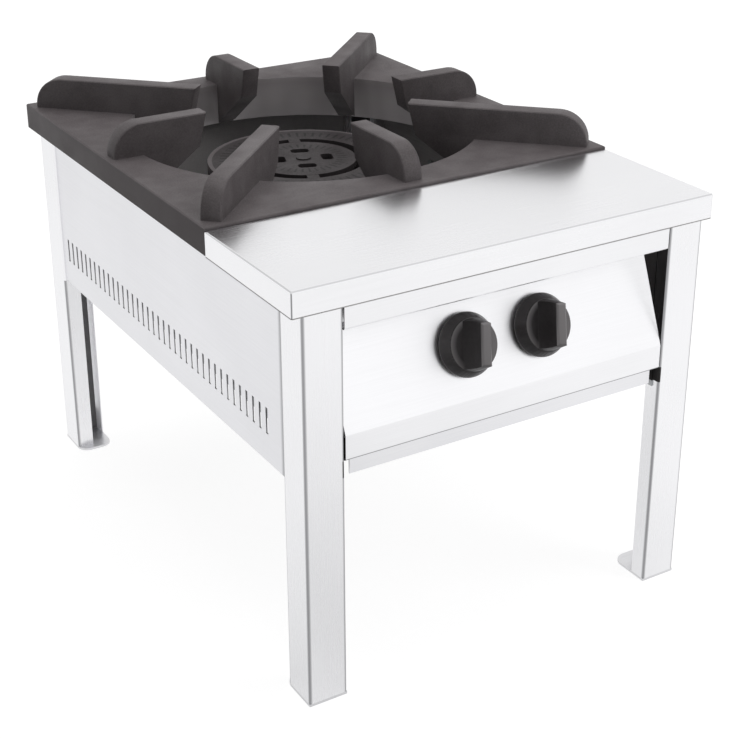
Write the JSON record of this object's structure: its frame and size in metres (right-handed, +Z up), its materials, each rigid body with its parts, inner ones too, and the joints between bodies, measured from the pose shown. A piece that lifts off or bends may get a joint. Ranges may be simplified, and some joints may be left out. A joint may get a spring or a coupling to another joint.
{
  "type": "floor gas stove",
  "caption": "Low stainless floor stove on folded legs with a cast-iron pan support over a ring burner, a worktop strip, knobs on a leaning panel and a slide-out drip tray.",
  "frame": {"origin": "on the floor, at the centre of the four holes in the foot plates", "axes": "+X to the user's right when they face the knobs, +Y to the rear, +Z up"},
  "size_m": [0.5, 0.7249, 0.4992],
  "materials": {
    "leg_steel": "satin stainless",
    "foot_steel": "satin stainless",
    "worktop_steel": "satin stainless",
    "panel_steel": "satin stainless",
    "control_steel": "satin stainless",
    "tray_steel": "satin stainless",
    "zinc_steel": "zinc plated",
    "pan_support_iron": "as cast",
    "burner_iron": "as cast",
    "burner_cap_iron": "machined",
    "knob_black": "glossy",
    "brass": "machined",
    "spindle_steel": "machined",
    "copper": "drawn copper tube"
  },
  "bodies": {
    "stove": {"front_left_leg": "leg_steel", "front_right_leg": "leg_steel", "rear_left_leg": "leg_steel", "rear_right_leg": "leg_steel", "front_left_foot_plate": "foot_steel", "front_right_foot_plate": "foot_steel", "rear_left_foot_plate": "foot_steel", "rear_right_foot_plate": "foot_steel", "worktop": "worktop_steel", "left_side_panel": "panel_steel", "right_side_panel": "panel_steel", "rear_panel": "panel_steel", "control_panel": "control_steel", "front_rail": "control_steel", "left_tray_runner": "zinc_steel", "right_tray_runner": "zinc_steel", "front_burner_bar": "zinc_steel", "rear_burner_bar": "zinc_steel", "manifold_shelf": "zinc_steel", "manifold_clips": "zinc_steel", "clip_screws": "zinc_steel", "gas_manifold": "zinc_steel", "manifold_plug": "zinc_steel", "outer_burner_body": "burner_iron", "inner_burner_body": "burner_iron", "outer_burner_cap": "burner_cap_iron", "inner_burner_cap": "burner_cap_iron", "left_tap_body": "brass", "right_tap_body": "brass", "outer_injector": "brass", "inner_injector": "brass", "outer_supply_pipe": "copper", "inner_supply_pipe": "copper"},
    "pan_support": {"pan_support": "pan_support_iron"},
    "drip_tray": {"drip_tray": "tray_steel"},
    "left_plunger": {"left_tap_plunger": "brass"},
    "right_plunger": {"right_tap_plunger": "brass"},
    "left_knob": {"left_knob": "knob_black", "left_spindle": "spindle_steel"},
    "right_knob": {"right_knob": "knob_black", "right_spindle": "spindle_steel"},
    "outer_shutter": {"outer_air_shutter": "zinc_steel"},
    "inner_shutter": {"inner_air_shutter": "zinc_steel"}
  },
  "joints": [
    {"name": "left_tap_push", "type": "slide", "parent": "stove", "child": "left_plunger", "axis": [0, 0.9298, -0.3681], "range_m": [0, 0.004], "stiffness_N_per_m": 1500, "springref_m": -0.003},
    {"name": "left_tap_turn", "type": "hinge", "parent": "left_plunger", "child": "left_knob", "pos_m": [-0.0455, -0.31561, 0.349], "axis": [0, -0.9298, 0.3681], "range_deg": [0, 180]},
    {"name": "right_tap_push", "type": "slide", "parent": "stove", "child": "right_plunger", "axis": [0, 0.9298, -0.3681], "range_m": [0, 0.004], "stiffness_N_per_m": 1500, "springref_m": -0.003},
    {"name": "right_tap_turn", "type": "hinge", "parent": "right_plunger", "child": "right_knob", "pos_m": [0.0455, -0.31561, 0.349], "axis": [0, -0.9298, 0.3681], "range_deg": [0, 180]},
    {"name": "pan_support_lift", "type": "slide", "parent": "stove", "child": "pan_support", "axis": [0, 0, 1], "range_m": [0, 0.12]},
    {"name": "drip_tray_slide", "type": "slide", "parent": "stove", "child": "drip_tray", "axis": [0, -1, 0], "range_m": [0, 0.4]},
    {"name": "outer_shutter_turn", "type": "hinge", "parent": "stove", "child": "outer_shutter", "pos_m": [-0.07, -0.193, 0.388], "axis": [0, 1, 0], "range_deg": [0, 60]},
    {"name": "inner_shutter_turn", "type": "hinge", "parent": "stove", "child": "inner_shutter", "pos_m": [0, -0.193, 0.35], "axis": [0, 1, 0], "range_deg": [0, 60]}
  ]
}
